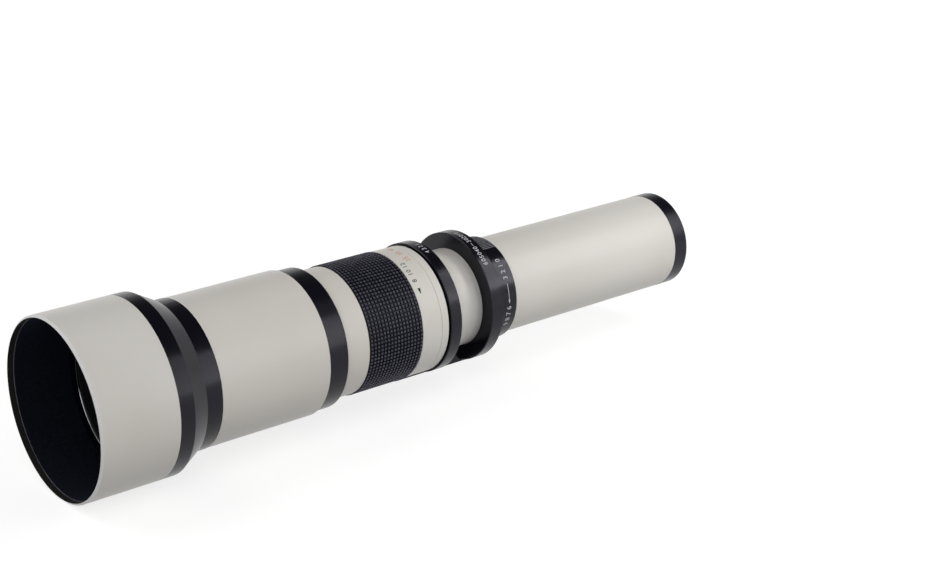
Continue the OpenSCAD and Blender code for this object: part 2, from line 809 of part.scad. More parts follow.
module focus_grip() color(rubber_black)
  ring(seat_r + fit_gap, grip_r, s_grip0 + fit_gap, s_grip1 - fit_gap);

// Focusing group

module focus_carriage() color(flat_black) difference() {
  ring(carriage_bore_r, carriage_r, s_carriage0, s_carriage1);
  for (a = pin_angles)
    radial_bar(a, s_pin, pin_r + fit_gap / 2, carriage_bore_r - 1, carriage_r + 1);
}

module focus_pins() color(brass)
  for (a = pin_angles) radial_bar(a, s_pin, pin_r, carriage_bore_r + pin_sink, seat_r - pin_sink);

module focus_front_glass() color(glass_tint)
  glass(focus_glass_r, s_focus_front0, s_focus_front1, -focus_r1, focus_r2);

module focus_rear_glass() color(glass_tint)
  glass(focus_glass_r, s_focus_rear0, s_focus_rear1, focus_r2 - fit_gap, focus_r3);

module focus_cell() color(flat_black) turned([
  [focus_lip_r, s_focus_cell0],
  [carriage_bore_r - fit_gap, s_focus_cell0],
  [carriage_bore_r - fit_gap, s_focus_cell1],
  [focus_glass_r + fit_gap, s_focus_cell1],
  [focus_glass_r + fit_gap, s_focus_cell0 + focus_web_t],
  [focus_lip_r, s_focus_cell0 + focus_web_t]
]);

module focus_lock_ring() color(flat_black) ring(focus_lip_r, focus_glass_r,
  s_focus_rear1 + sag(focus_r3, focus_glass_r - glass_rim) + fit_gap, s_focus_cell1);

// Zoom tube and the glasses that ride in it

module zoom_tube() color(cream) difference() {
  ring(tube_bore_r, tube_r, s_tube0, s_end0 - fit_gap);
  radial_slot(180, s_key - face_gap, s_key + zoom_travel + face_gap, key_r + slot_gap,
    tube_r - key_groove, tube_r + 1);
}

module zoom_cell() color(flat_black) turned([
  [zoom_lip_r, s_tube0 + cell_setback],
  [tube_bore_r - fit_gap, s_tube0 + cell_setback],
  [tube_bore_r - fit_gap, s_tube0 + zoom_cell_len],
  [zoom_glass_r + fit_gap, s_tube0 + zoom_cell_len],
  [zoom_glass_r + fit_gap, s_zoom_lip],
  [zoom_lip_r, s_zoom_lip]
]);

module zoom_front_glass() color(glass_tint)
  glass(zoom_glass_r, s_zoom_front0, s_zoom_front1, zoom_r1, -zoom_r2);

module zoom_rear_glass() color(glass_tint)
  glass(zoom_glass_r, s_zoom_rear0, s_zoom_rear1, -(zoom_r2 + fit_gap), zoom_r3);

module zoom_lock_ring() color(flat_black) ring(zoom_lip_r, zoom_glass_r,
  s_zoom_rear1 + sag(zoom_r3, zoom_glass_r - glass_rim) + fit_gap, s_tube0 + zoom_cell_len - 0.1);

// Light baffle: a thin web on a short rim
module tube_baffle(i) {
  s = s_tube0 + (s_end0 - s_tube0) * baffle_shares[i];
  r_rim = tube_bore_r - fit_gap;
  color(flat_black) turned([
    [baffle_open_r[i], s],
    [r_rim, s],
    [r_rim, s + baffle_rim],
    [r_rim - baffle_web, s + baffle_rim],
    [r_rim - baffle_web, s + baffle_web],
    [baffle_open_r[i] + baffle_web / 2, s + baffle_web]
  ]);
}

module tube_baffle_front() tube_baffle(0);
module tube_baffle_middle() tube_baffle(1);
module tube_baffle_rear() tube_baffle(2);

// Screw places around the rear mount
module mount_bars(r_bar, s0, s1)
  for (a = [45:90:315]) axial_bar(a, mount_screw_place_r, r_bar, s0, s1);

module end_ring() color(satin_black) difference() {
  turned([
    [end_bore_r, s_end0 - end_spigot_len],
    [tube_bore_r - fit_gap, s_end0 - end_spigot_len],
    [tube_bore_r - fit_gap, s_end0],
    [end_ring_r, s_end0],
    [end_ring_r, s_end1 - end_edge],
    [end_ring_r - end_edge, s_end1],
    [mount_hub_r + fit_gap, s_end1],
    [mount_hub_r + fit_gap, s_end_web],
    [end_bore_r, s_end_web]
  ]);
  mount_bars(mount_screw_r + fit_gap, s_end_web - over, s_end1 + over);
  mount_bars(mount_head_r + head_gap, s_end1 - mount_head_t - head_gap, s_end1 + over);
}

module mount_ring() color(steel) difference() {
  turned([
    [port_r, s_mount_flange0],
    [end_bore_r - fit_gap, s_mount_flange0],
    [end_bore_r - fit_gap, s_mount_flange1],
    [mount_hub_r, s_mount_flange1],
    [mount_hub_r, s_end1],
    [mount_r, s_end1],
    [mount_r, s_mount1 - mount_edge],
    [mount_r - mount_edge, s_mount1],
    [port_r, s_mount1]
  ]);
  mount_bars(mount_screw_r + fit_gap, s_mount_flange0 + mount_screw_floor, s_end_web + over);
}

module mount_screws() color(steel) union() {
  mount_bars(mount_head_r, s_end1 - head_sink - mount_head_t, s_end1 - head_sink);
  mount_bars(mount_screw_r, s_mount_flange0 + mount_screw_floor + 0.1, s_end1 - over);
}

// Rear group

module rear_cell() color(flat_black) turned([
  [rear_glass_r + fit_gap, s_rear_cell0],
  [rear_cell_r, s_rear_cell0],
  [rear_cell_r, s_rear_cell1 - rear_flange_t],
  [end_bore_r - fit_gap, s_rear_cell1 - rear_flange_t],
  [end_bore_r - fit_gap, s_rear_cell1],
  [rear_lip_r, s_rear_cell1],
  [rear_lip_r, s_rear_lip],
  [rear_glass_r + fit_gap, s_rear_lip]
]);

module rear_front_glass() color(glass_tint)
  glass(rear_glass_r, s_rear_front0, s_rear_front1, rear_r1, -rear_r2);

module rear_rear_glass() color(glass_tint)
  glass(rear_glass_r, s_rear_back0, s_rear_back1, -(rear_r2 + fit_gap), rear_r3);

module rear_lock_ring() color(flat_black) ring(rear_lip_r, rear_glass_r,
  s_rear_cell0 + 0.2, s_rear_front0 + sag(rear_r1, rear_lip_r) - fit_gap);

hood_tube();
hood_lining();
hood_adapter();
hood_felt();
front_ring();
front_trim_ring();
objective_crown();
objective_flint();
objective_cell();
objective_lock_ring();
front_barrel();
barrel_baffle();
barrel_rear_ring();
guide_tube();
guide_tube_screws();
index_ring();
focus_stop_pin();
groove_ring();
tube_bush();
tripod_collar();
collar_screws();
foot_plate();
foot_screws();
tripod_bush();
guide_key();
lock_collet();
focus_sleeve();
focus_grip();
focus_carriage();
focus_front_glass();
focus_rear_glass();
focus_cell();
focus_lock_ring();
focus_pins();
lock_ring();
zoom_tube();
zoom_cell();
zoom_front_glass();
zoom_rear_glass();
zoom_lock_ring();
tube_baffle_front();
tube_baffle_middle();
tube_baffle_rear();
end_ring();
rear_cell();
rear_front_glass();
rear_rear_glass();
rear_lock_ring();
mount_ring();
mount_screws();
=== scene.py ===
# Manual telephoto zoom lens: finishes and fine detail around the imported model. Metres.
import json
import math
import bmesh
import bpy
from mathutils import Matrix, Vector

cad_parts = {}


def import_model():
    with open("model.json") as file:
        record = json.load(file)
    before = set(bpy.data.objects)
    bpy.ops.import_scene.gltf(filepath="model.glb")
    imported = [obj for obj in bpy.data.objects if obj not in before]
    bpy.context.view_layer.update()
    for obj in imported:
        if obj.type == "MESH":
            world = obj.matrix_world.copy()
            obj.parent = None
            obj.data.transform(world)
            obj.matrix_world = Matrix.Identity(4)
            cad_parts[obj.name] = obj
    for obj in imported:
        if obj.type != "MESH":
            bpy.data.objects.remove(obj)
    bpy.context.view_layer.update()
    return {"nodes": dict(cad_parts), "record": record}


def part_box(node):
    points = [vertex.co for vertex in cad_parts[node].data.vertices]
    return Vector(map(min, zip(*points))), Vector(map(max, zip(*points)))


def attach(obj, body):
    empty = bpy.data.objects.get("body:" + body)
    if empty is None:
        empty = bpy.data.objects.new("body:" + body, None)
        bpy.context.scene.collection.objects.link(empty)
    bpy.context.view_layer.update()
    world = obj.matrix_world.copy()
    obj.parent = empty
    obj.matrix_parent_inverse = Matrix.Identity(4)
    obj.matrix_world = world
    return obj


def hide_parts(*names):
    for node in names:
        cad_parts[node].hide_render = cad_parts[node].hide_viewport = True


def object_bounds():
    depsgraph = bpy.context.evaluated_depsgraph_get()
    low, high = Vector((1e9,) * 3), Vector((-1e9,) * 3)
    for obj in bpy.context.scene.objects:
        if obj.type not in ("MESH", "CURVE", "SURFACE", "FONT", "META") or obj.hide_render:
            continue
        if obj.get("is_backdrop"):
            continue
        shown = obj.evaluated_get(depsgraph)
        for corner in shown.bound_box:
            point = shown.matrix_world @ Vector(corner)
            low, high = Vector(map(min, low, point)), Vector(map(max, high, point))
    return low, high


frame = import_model()
nodes = frame["nodes"]
MM = 0.001
FULL_TURN = 2 * math.pi
AXIS_Z = (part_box("zoom_tube")[0].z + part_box("zoom_tube")[1].z) / 2


# Places. Angles run round the optical axis from the top, positive towards the side that
# faces the camera.

def front(name):
    """Where a node starts along the axis."""
    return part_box(name)[0].x


def back(name):
    """Where a node ends along the axis."""
    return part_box(name)[1].x


def radius(name):
    """Outer radius of a round node."""
    low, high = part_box(name)
    return (high.y - low.y) / 2


def on_ring(x, angle, r):
    """Point at a distance r from the optical axis."""
    return Vector((x, -math.sin(angle) * r, AXIS_Z + math.cos(angle) * r))


# Shader helpers

def linear(hex_colour):
    """sRGB hex colour as linear RGBA."""
    channels = [int(hex_colour[i:i + 2], 16) / 255 for i in (1, 3, 5)]
    curve = [c / 12.92 if c <= 0.04045 else ((c + 0.055) / 1.055) ** 2.4 for c in channels]
    return (*curve, 1.0)


def add(tree, kind, settings=None, links=None):
    """Adds one shader node with its settings and the sockets that feed it."""
    made = tree.nodes.new("ShaderNode" + kind)
    for name, value in (settings or {}).items():
        if isinstance(name, int) or name in made.inputs:
            made.inputs[name].default_value = value
        else:
            setattr(made, name, value)
    for name, source in (links or {}).items():
        tree.links.new(source, made.inputs[name])
    return made


def blank(name):
    """New material: itself, its node tree, and coordinates centred on the optical axis."""
    made = bpy.data.materials.new(name)
    made.use_nodes = True
    tree = made.node_tree
    tree.nodes.clear()
    ways = add(tree, "TexCoord")
    centred = add(tree, "Mapping", {"Location": (0, 0, -AXIS_Z)}, {"Vector": ways.outputs["Object"]})
    return made, tree, centred.outputs[0]


def surface(tree, settings, links):
    """The shader that everything else feeds, and the material's output."""
    shader = add(tree, "BsdfPrincipled", settings, links)
    add(tree, "OutputMaterial", links={"Surface": shader.outputs[0]})


def drift(tree, place, patch, dark, light, low=0.35, high=0.65):
    """Slow change between two close colours, in patches of a size in metres."""
    cloud = add(tree, "TexNoise", {"Scale": 1 / patch, "Detail": 2.0}, {"Vector": place})
    share = add(tree, "MapRange", {"From Min": low, "From Max": high}, {"Value": cloud.outputs[0]})
    mixed = add(tree, "Mix", {"data_type": "RGBA", 6: linear(dark), 7: linear(light)},
                {0: share.outputs[0]})
    return mixed.outputs[2]


def worked(tree, pattern, smoothest, roughest, depth, strength):
    """Roughness and relief that a pattern gives a surface, for its shader. Each finish keeps
    its roughness on one side of 0.274, where a renderer's denoiser starts to see a mirror."""
    spread = add(tree, "MapRange", {"From Min": 0.3, "From Max": 0.7, "To Min": smoothest,
                                    "To Max": roughest}, {"Value": pattern})
    relief = add(tree, "Bump", {"Strength": strength, "Distance": depth}, {"Height": pattern})
    return {"Roughness": spread.outputs[0], "Normal": relief.outputs[0]}


def turned(tree, place, pitch, smoothest, roughest, depth, strength):
    """Lines that a lathe leaves round the optical axis, at a pitch in metres."""
    lines = add(tree, "TexWave", {"bands_direction": "X", "Scale": FULL_TURN / 20 / pitch,
                                  "Distortion": 0.6, "Detail": 2.0, "Detail Scale": 1.5},
                {"Vector": place})
    return worked(tree, lines.outputs["Fac"], smoothest, roughest, depth, strength)


def grained(tree, place, grain, smoothest, roughest, depth, strength):
    """Even grain of a size in metres."""
    specks = add(tree, "TexNoise", {"Scale": 1 / grain, "Detail": 2.0}, {"Vector": place})
    return worked(tree, specks.outputs[0], smoothest, roughest, depth, strength)


# Finishes, one for each slot of the record. A surface of the enamelled tubes that faces the
# axis is a bore. The bright edge carries a painted glint that fades in between two heights, measured
# from the axis.

HOOD_BEVEL = 1.5 * MM
FACES_INWARDS = -0.5
GLINT_FADE_HEIGHT = -13 * MM
GLINT_FULL_HEIGHT = -20 * MM
STUD_HEIGHT = 1.1 * MM


def cream_enamel():
    """Satin enamel sprayed over turned aluminium: a smooth film with long soft reflections
    and a faint orange peel, 1.5 mm across in life and drawn at 3 mm. The hood's front bevel is
    painted paler as a painted highlight, and the bores of the enamelled tubes are satin black."""
    made, tree, place = blank("cream_enamel")
    ways = add(tree, "TexCoord")
    across = add(tree, "VectorMath", {"operation": "MULTIPLY", 1: (0, 1, 1)}, {0: place})
    outwards = add(tree, "VectorMath", {"operation": "NORMALIZE"}, {0: across.outputs[0]})
    facing = add(tree, "VectorMath", {"operation": "DOT_PRODUCT"},
                 {0: ways.outputs["Normal"], 1: outwards.outputs[0]})
    bore = add(tree, "Math", {"operation": "LESS_THAN", 1: FACES_INWARDS}, {0: facing.outputs["Value"]})
    along = add(tree, "SeparateXYZ", links={0: place})
    # Painted highlight: the hood's front bevel is coloured paler than the film.
    bevel = add(tree, "Math", {"operation": "LESS_THAN", 1: front("hood_tube") + HOOD_BEVEL},
                {0: along.outputs["X"]})
    film = drift(tree, place, 0.11, "#D0CCC5", "#D6D3CD")
    outside = add(tree, "Mix", {"data_type": "RGBA", 7: linear("#E8E6E7")},
                  {0: bevel.outputs[0], 6: film})
    colour = add(tree, "Mix", {"data_type": "RGBA", 7: linear("#1F201C")},
                 {0: bore.outputs[0], 6: outside.outputs[2]})
    grounds = grained(tree, place, 3 * MM, 0.28, 0.36, 0.01 * MM, 0.5)
    rough = add(tree, "Mix", {3: 0.5}, {0: bore.outputs[0], 2: grounds["Roughness"]})
    surface(tree, {"Specular IOR Level": 0.2}, {
        "Base Color": colour.outputs[2],
        "Roughness": rough.outputs[0],
        "Normal": grounds["Normal"]})
    return made


def black_anodised():
    """Turned aluminium, dyed and anodised: a dark film over fine turning lines, which spread
    the highlight along the axis. The lines are 0.2 mm apart in life and drawn at 1.1 mm."""
    made, tree, place = blank("black_anodised")
    surface(tree, {"Specular IOR Level": 0.27, "Specular Tint": linear("#F4F3FF")}, {
        "Base Color": drift(tree, place, 0.07, "#06060E", "#090913"),
        **turned(tree, place, 1.1 * MM, 0.19, 0.27, 0.01 * MM, 0.3)})
    return made


def black_collar():
    """Satin black paint over machined aluminium, with a fine even grain of 0.7 mm."""
    made, tree, place = blank("black_collar")
    surface(tree, {"Specular IOR Level": 0.29, "Specular Tint": linear("#F4F3FF")}, {
        "Base Color": drift(tree, place, 0.07, "#06060E", "#090913"),
        **grained(tree, place, 0.7 * MM, 0.21, 0.27, 0.01 * MM, 0.25)})
    return made


def black_flock():
    """Short nylon fibres blown into glue: a deep black with a soft edge sheen. The tufts are
    0.5 mm in life and drawn at 1 mm."""
    made, tree, place = blank("black_flock")
    surface(tree, {"Specular IOR Level": 0.1, "Sheen Weight": 0.1, "Sheen Roughness": 0.6,
                   "Sheen Tint": linear("#4A5A80")}, {
        "Base Color": drift(tree, place, 2 * MM, "#0B0D14", "#13151D"),
        **grained(tree, place, 1 * MM, 0.9, 1.0, 0.3 * MM, 0.6)})
    return made


def flat_black():
    """Matt black lacquer that kills stray light, slightly gritty at 0.6 mm."""
    made, tree, place = blank("flat_black")
    surface(tree, {"Specular IOR Level": 0.2}, {
        "Base Color": drift(tree, place, 17 * MM, "#0C0D0F", "#121315"),
        **grained(tree, place, 0.6 * MM, 0.78, 0.9, 0.04 * MM, 0.4)})
    return made


def coated_glass():
    """Polished optical glass under a coating a quarter of a wave thick, which turns its
    reflections green to violet. The coating varies a little over the surface."""
    made, tree, place = blank("coated_glass")
    surface(tree, {"Roughness": 0.0, "IOR": 1.6, "Transmission Weight": 1.0,
                   "Thin Film Thickness": 330.0, "Thin Film IOR": 1.38}, {
        "Base Color": drift(tree, place, 0.04, "#F1F7F6", "#F7F8FA")})
    return made


def grip_rubber():
    """Moulded rubber, matt. Its colour goes by height: the grooves are painted near-black as shade,
    and the tops of the studs are painted grey as a stand-in for their highlights."""
    made, tree, place = blank("grip_rubber")
    across = add(tree, "VectorMath", {"operation": "MULTIPLY", 1: (0, 1, 1)}, {0: place})
    height = add(tree, "VectorMath", {"operation": "LENGTH"}, {0: across.outputs[0]})
    # Painted shade and highlight: near-black at the foot of the studs, grey at their tops.
    painted_height_shade = add(tree, "MapRange", {"From Min": radius("focus_grip") - STUD_HEIGHT / 2,
                                   "From Max": radius("focus_grip")},
                {"Value": height.outputs["Value"]})
    painted_top_highlight = drift(tree, place, 4.5 * MM, "#383843", "#4B4B57")
    colour = add(tree, "Mix", {"data_type": "RGBA", 6: linear("#050508")},
                 {0: painted_height_shade.outputs[0], 7: painted_top_highlight})
    surface(tree, {"Specular IOR Level": 0.22, "Specular Tint": linear("#F0F0FF")}, {
        "Base Color": colour.outputs[2],
        **grained(tree, place, 2.4 * MM, 0.42, 0.56, 0.03 * MM, 0.5)})
    return made


def plain_alloy():
    """Bare turned aluminium, with lines 0.3 mm apart drawn at 0.8 mm."""
    made, tree, place = blank("plain_alloy")
    surface(tree, {"Metallic": 1.0}, {
        "Base Color": drift(tree, place, 0.04, "#B3B5B8", "#C6C8CA"),
        **turned(tree, place, 0.8 * MM, 0.28, 0.38, 0.01 * MM, 0.4)})
    return made


def bright_steel():
    """Turned steel with a satin nickel plate: neutral, with tight highlights."""
    made, tree, place = blank("bright_steel")
    surface(tree, {"Metallic": 1.0}, {
        "Base Color": drift(tree, place, 17 * MM, "#B4B3AE", "#C4C3BF"),
        **turned(tree, place, 0.5 * MM, 0.18, 0.27, 0.005 * MM, 0.4)})
    return made


def brass():
    """Bare turned brass, slightly dulled by grease in patches of 1.4 mm."""
    made, tree, place = blank("brass")
    surface(tree, {"Metallic": 1.0}, {
        "Base Color": drift(tree, place, 2.5 * MM, "#B08D45", "#C7A55C"),
        **grained(tree, place, 1.4 * MM, 0.28, 0.4, 0.005 * MM, 0.3)})
    return made


def slide_bush():
    """Machined low-friction plastic: milky, waxy and faintly translucent."""
    made, tree, place = blank("slide_bush")
    surface(tree, {"Subsurface Weight": 0.1, "Subsurface Radius": (0.002, 0.0018, 0.0015),
                   "Specular IOR Level": 0.4}, {
        "Base Color": drift(tree, place, 11 * MM, "#E2DED2", "#ECE8DD"),
        **turned(tree, place, 0.7 * MM, 0.4, 0.5, 0.005 * MM, 0.3)})
    return made


def ink(name, colour, faded):
    """Stoving ink: thin, matt and slightly uneven at 0.3 mm."""
    made, tree, place = blank(name)
    surface(tree, {"Specular IOR Level": 0.35}, {
        "Base Color": drift(tree, place, 0.3 * MM, faded, colour, 0.2, 0.5),
        **grained(tree, place, 0.3 * MM, 0.45, 0.6, 0.005 * MM, 0.3)})
    return made


def edge_glint():
    """An anodised edge with a painted glint: its lower part is coloured as bright bare metal,
    narrow, and the dark dye stays on above."""
    made, tree, place = blank("edge_glint")
    along = add(tree, "SeparateXYZ", links={0: place})
    # Painted glint: bright metal below one height, dark dye above another.
    glint_share = add(tree, "MapRange", {"From Min": GLINT_FADE_HEIGHT, "From Max": GLINT_FULL_HEIGHT},
               {"Value": along.outputs["Z"]})
    glint_colour = drift(tree, place, 7 * MM, "#C8CACD", "#DADCDF")
    colour = add(tree, "Mix", {"data_type": "RGBA", 6: linear("#2A2B2E")},
                 {0: glint_share.outputs[0], 7: glint_colour})
    surface(tree, {"Metallic": 1.0}, {
        "Base Color": colour.outputs[2],
        **turned(tree, place, 0.3 * MM, 0.3, 0.4, 0.003 * MM, 0.3)})
    return made


def lining_highlight_grey():
    """The cut edge of the lining, coloured grey as a painted highlight where the edge catches the
    light.
    """
    made, tree, place = blank("lining_highlight_grey")
    surface(tree, {"Specular IOR Level": 0.6}, {
        "Base Color": drift(tree, place, 5 * MM, "#3A3842", "#5C5A66"),
        **grained(tree, place, 1 * MM, 0.3, 0.45, 0.01 * MM, 0.3)})
    return made


def crest_highlight_grey():
    """Black anodised crests coloured grey and satin, a painted highlight for the light that the crests
    catch.
    """
    made, tree, place = blank("crest_highlight_grey")
    surface(tree, {"Specular IOR Level": 0.4}, {
        "Base Color": drift(tree, place, 3 * MM, "#56565C", "#76767C"),
        **grained(tree, place, 0.8 * MM, 0.3, 0.42, 0.01 * MM, 0.3)})
    return made


FINISHES = {make.__name__: make() for make in (
    cream_enamel, black_anodised, black_collar, black_flock, flat_black, coated_glass,
    grip_rubber, plain_alloy, bright_steel, brass, slide_bush)}
WHITE_INK = ink("white_ink", "#C4C4C8", "#95969A")
GREEN_INK = ink("green_ink", "#2C5245", "#456457")
ORANGE_INK = ink("orange_ink", "#D08E74", "#D6A690")
DARK_INK = ink("dark_ink", "#1B2A26", "#2A3935")
EDGE_GLINT = edge_glint()
LINING_HIGHLIGHT = lining_highlight_grey()
CREST_HIGHLIGHT = crest_highlight_grey()

for part in frame["record"]["subparts"]:
    for slot in nodes[part["node"]].material_slots:
        slot.material = FINISHES[part["material_slot"]]


# Piece helpers

def piece(name, bm, body, finish, replaced=()):
    """Turns a bmesh into a finished piece that rides on a body."""
    mesh = bpy.data.meshes.new(name)
    bm.to_mesh(mesh)
    bm.free()
    mesh.materials.append(finish)
    made = bpy.data.objects.new(name, mesh)
    bpy.context.scene.collection.objects.link(made)
    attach(made, body)
    if replaced:
        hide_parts(*replaced)


def smooth(bm, limit=math.radians(32)):
    """Smooth shading, with edges sharper than a limit kept crisp."""
    for face in bm.faces:
        face.smooth = True
    for edge in bm.edges:
        edge.smooth = len(edge.link_faces) == 2 and edge.calc_face_angle(0) < limit


def spun(outline, steps, solid=False):
    """Ring from an outline of (x, radius) points, spun round the optical axis. A solid one
    starts and ends on the axis."""
    bm = bmesh.new()
    points = [bm.verts.new((x, 0, r)) for x, r in outline]
    following = points[1:] if solid else points[1:] + points[:1]
    sides = [bm.edges.new(pair) for pair in zip(points, following)]
    bmesh.ops.spin(bm, geom=points + sides, cent=(0, 0, 0), axis=(1, 0, 0), angle=FULL_TURN,
                   steps=steps, use_merge=True)
    bmesh.ops.remove_doubles(bm, verts=bm.verts, dist=1e-7)
    bmesh.ops.recalc_face_normals(bm, faces=bm.faces)
    bmesh.ops.translate(bm, verts=bm.verts, vec=(0, 0, AXIS_Z))
    return bm


def ridges(x0, x1, r_root, r_crest, pitch):
    """Points of a row of V ridges with narrow flat crests, between two places on an axis."""
    turns = round((x1 - x0) / pitch)
    step = (x1 - x0) / turns
    points = [(x0, r_root)]
    for i in range(turns):
        points.append((x0 + (i + 0.4) * step, r_crest))
        points.append((x0 + (i + 0.6) * step, r_crest))
        points.append((x0 + (i + 1) * step, r_root))
    return points


# Rubber grip: a sleeve with rows of small square studs

STUD_PITCH = 2.92 * MM
STUD_GROOVE = 1.1 * MM
STUD_TAPER = 0.42 * MM
STUD_SIDE = 0.7
STUD_TOP = 0.28
GRIP_WALL = 1.75 * MM
GRIP_MARGIN = 0.35 * MM


def grip():
    """Each cell of a spun sleeve is drawn in by half a groove and raised in two steps."""
    x0, x1 = front("focus_grip"), back("focus_grip")
    r_base = radius("focus_grip") - STUD_HEIGHT
    r_bore = radius("focus_grip") - GRIP_WALL
    rows = round((x1 - x0 - 2 * GRIP_MARGIN) / STUD_PITCH)
    around = round(FULL_TURN * radius("focus_grip") / STUD_PITCH)
    first, last = x0 + GRIP_MARGIN, x1 - GRIP_MARGIN
    stations = [first + (last - first) * i / rows for i in range(rows + 1)]
    outline = [(x0, r_bore), (x0, r_base), *((x, r_base) for x in stations), (x1, r_base), (x1, r_bore)]
    bm = spun(outline, around)
    cells = []
    for face in bm.faces:
        middle = face.calc_center_median()
        outside = math.hypot(middle.y, middle.z - AXIS_Z) > (r_base + r_bore) / 2
        if outside and first < middle.x < last:
            cells.append(face)
    bmesh.ops.inset_individual(bm, faces=cells, thickness=STUD_GROOVE / 2, depth=0)
    bmesh.ops.inset_individual(bm, faces=cells, thickness=STUD_TAPER / 2,
                               depth=STUD_HEIGHT * STUD_SIDE)
    bmesh.ops.inset_individual(bm, faces=cells, thickness=STUD_TAPER / 2,
                               depth=STUD_HEIGHT * STUD_TOP)
    smooth(bm, limit=math.radians(20))
    piece("rubber_grip", bm, "focus_ring", FINISHES["grip_rubber"], ["focus_grip"])


grip()


# Objective glasses: a doublet with smooth spherical faces

FRONT_CURVE = 310 * MM
SHARED_CURVE = 230 * MM
REAR_CURVE = 900 * MM
GLASS_GAP = 0.05 * MM
GLASS_RIM = 1 * MM
GLASS_STEPS = 96
CURVE_STEPS = 20


def curved(x, curve, r_edge):
    """Points of a spherical face from the axis outwards. A positive curve bulges forwards."""
    points = []
    for i in range(CURVE_STEPS + 1):
        r = r_edge * i / CURVE_STEPS
        sag = abs(curve) - math.sqrt(curve * curve - r * r)
        points.append((x + math.copysign(sag, curve), r))
    return points


def objective():
    """The front glass bulges both ways. The second one is hollow in front, to take it."""
    r_glass = radius("objective_crown")
    x0, x1 = front("objective_crown"), back("objective_crown")
    outline = curved(x0, FRONT_CURVE, r_glass) + curved(x1, -SHARED_CURVE, r_glass)[::-1]
    bm = spun(outline, GLASS_STEPS, solid=True)
    smooth(bm)
    piece("front_glass", bm, "barrel", FINISHES["coated_glass"], ["objective_crown"])
    hollow = curved(x1 + GLASS_GAP, -SHARED_CURVE - GLASS_GAP, r_glass - GLASS_RIM)
    rim = (hollow[-1][0], r_glass)
    outline = [*hollow, rim, *curved(back("objective_flint"), -REAR_CURVE, r_glass)[::-1]]
    bm = spun(outline, GLASS_STEPS, solid=True)
    smooth(bm)
    piece("second_glass", bm, "barrel", FINISHES["coated_glass"], ["objective_flint"])


objective()


# Grooves, threads and edges with painted highlights. A liner lies on the wall of the bore that carries
# it.

LINER = 0.02 * MM
HOOD_STEPS = 160
THREAD_STEPS = 128
BORE_R = 52.7 * MM
BORE_END = 3.2 * MM
BORE_PITCH = 1.2 * MM
BORE_ROOT = 0.1 * MM
BORE_CREST = 0.7 * MM
EDGE_LENGTH = 1.2 * MM
EDGE_PROUD = 0.2 * MM
EDGE_CHAMFER = 0.3 * MM
EDGE_WALL = 0.08 * MM
LINING_R = 61.9 * MM
LINING_LENGTH = 0.3 * MM
LINING_SLOPE = 0.1 * MM
FILTER_R = 47.5 * MM
FILTER_START = 0.5 * MM
FILTER_LENGTH = 7 * MM
FILTER_PITCH = 1 * MM
FILTER_ROOT = 0.06 * MM
FILTER_CREST = 0.58 * MM


def bore_grooves():
    """Light-trap grooves down the adapter's bore."""
    x0 = front("hood_adapter") + EDGE_LENGTH
    x1 = front("front_ring") - BORE_END
    r_wall = BORE_R - LINER
    outline = ridges(x0, x1, r_wall - BORE_ROOT, r_wall - BORE_CREST, BORE_PITCH)
    bm = spun([(x0, r_wall), *outline, (x1, r_wall)], HOOD_STEPS)
    smooth(bm)
    piece("bore_grooves", bm, "hood", FINISHES["flat_black"])


def bore_edge():
    """Edge at the mouth of the adapter's bore, with a painted glint on its lower part."""
    x0 = front("hood_adapter")
    r_wall = BORE_R - LINER
    r_edge = r_wall - EDGE_WALL
    bm = spun([(x0 - EDGE_PROUD, r_edge + EDGE_CHAMFER), (x0 + EDGE_CHAMFER - EDGE_PROUD, r_edge),
               (x0 + EDGE_LENGTH, r_wall), (x0 + LINER, r_edge + EDGE_CHAMFER + LINER)], HOOD_STEPS)
    smooth(bm)
    piece("bore_edge", bm, "hood", EDGE_GLINT)


def lining_edge():
    """Thin grey line where the flock starts behind the hood's rim; the grey is a painted highlight."""
    x1 = front("hood_lining") - LINER
    x0 = x1 - LINING_LENGTH
    r_wall = radius("hood_lining")
    bm = spun([(x0, r_wall), (x0, LINING_R + LINING_SLOPE), (x1, LINING_R), (x1, r_wall)], HOOD_STEPS)
    smooth(bm)
    piece("lining_edge", bm, "hood", LINING_HIGHLIGHT)


def filter_thread():
    """Female thread for filters inside the front ring, 1 mm pitch."""
    x0 = front("front_ring") + FILTER_START
    x1 = x0 + FILTER_LENGTH
    r_wall = FILTER_R - LINER
    outline = ridges(x0, x1, r_wall - FILTER_ROOT, r_wall - FILTER_CREST, FILTER_PITCH)
    bm = spun([(x0, r_wall), *outline, (x1, r_wall)], THREAD_STEPS)
    smooth(bm)
    piece("filter_thread", bm, "barrel", FINISHES["black_anodised"])


bore_grooves()
bore_edge()
lining_edge()
filter_thread()


# Lock ring ribs, in two zones

RIB_ZONES = (0, 180)
RIB_ZONE = 22
RIBS = 17
CREST_LENGTH = 15.1 * MM
CREST_END = 0.9 * MM
CREST_HALF = 0.44 * MM
CREST_FOOT = 0.3 * MM
CREST_HEIGHT = 0.36 * MM
CREST_SIDES = 6


